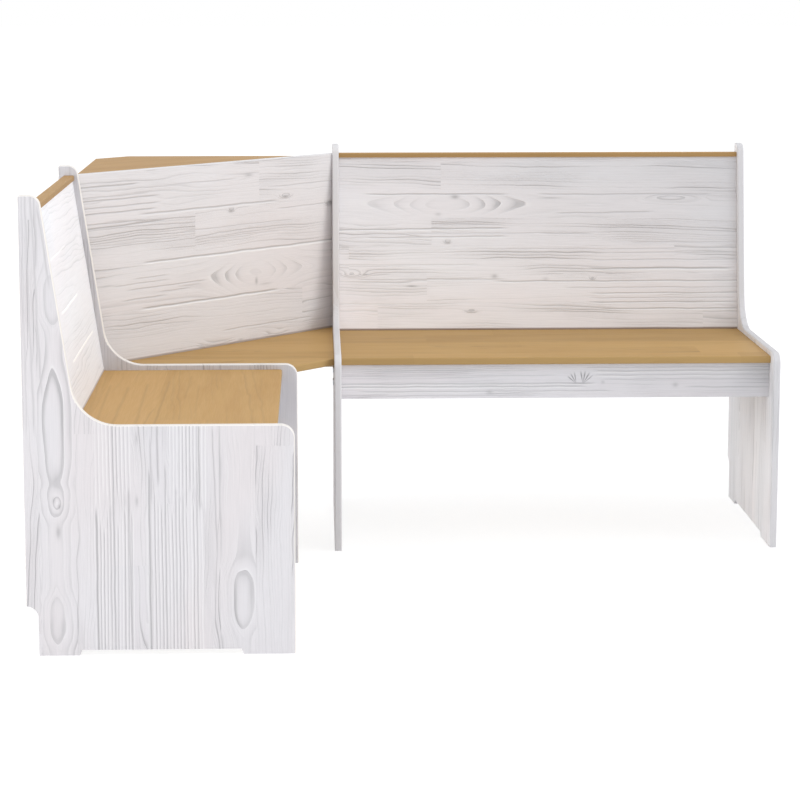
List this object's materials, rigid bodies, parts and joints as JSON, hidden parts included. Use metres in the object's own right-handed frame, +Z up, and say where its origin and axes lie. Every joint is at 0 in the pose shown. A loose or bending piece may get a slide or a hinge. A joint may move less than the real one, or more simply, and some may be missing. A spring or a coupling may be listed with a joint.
{
  "type": "corner bench",
  "caption": "Corner bench of pine boards: a long and a short bench with leaning backs, joined by a corner seat with a shelf behind it.",
  "frame": {"origin": "on the floor, under the middle of the space that the whole bench takes up", "axes": "+X along the long wall away from the corner, +Y towards the long wall, +Z up"},
  "size_m": [1.51, 1.184, 0.834],
  "materials": {
    "white_pine": "white wax over brushed grain, satin",
    "honey_pine": "honey stain over brushed grain, satin",
    "plain_pine": "sawn and planed, unfinished",
    "beech": "fluted dowel, unfinished",
    "zinc_plated_steel": "zinc plated",
    "cast_zinc": "as cast"
  },
  "bodies": {
    "root": {"short_bench_end_panel": "white_pine", "short_bench_corner_panel": "white_pine", "long_bench_corner_panel": "white_pine", "long_bench_end_panel": "white_pine", "long_seat": "honey_pine", "short_seat": "honey_pine", "corner_seat": "honey_pine", "long_backrest": "white_pine", "short_backrest": "white_pine", "corner_backrest": "white_pine", "long_top_cap": "honey_pine", "short_top_cap": "honey_pine", "corner_top_shelf": "honey_pine", "long_front_rail": "white_pine", "short_front_rail": "white_pine", "long_rear_rail": "white_pine", "short_rear_rail": "white_pine", "long_seat_corner_cleat": "plain_pine", "long_seat_end_cleat": "plain_pine", "short_seat_corner_cleat": "plain_pine", "short_seat_end_cleat": "plain_pine", "corner_seat_short_side_cleat": "plain_pine", "corner_seat_long_side_cleat": "plain_pine", "corner_back_short_side_batten": "plain_pine", "corner_back_long_side_batten": "plain_pine", "shelf_batten": "plain_pine", "rail_bolts": "zinc_plated_steel", "barrel_nuts": "zinc_plated_steel", "cam_locks": "cast_zinc", "cam_bolts": "zinc_plated_steel", "board_dowels": "beech", "small_dowels": "beech", "cleat_screws": "zinc_plated_steel", "seat_screws": "zinc_plated_steel", "back_screws": "zinc_plated_steel"}
  },
  "joints": []
}
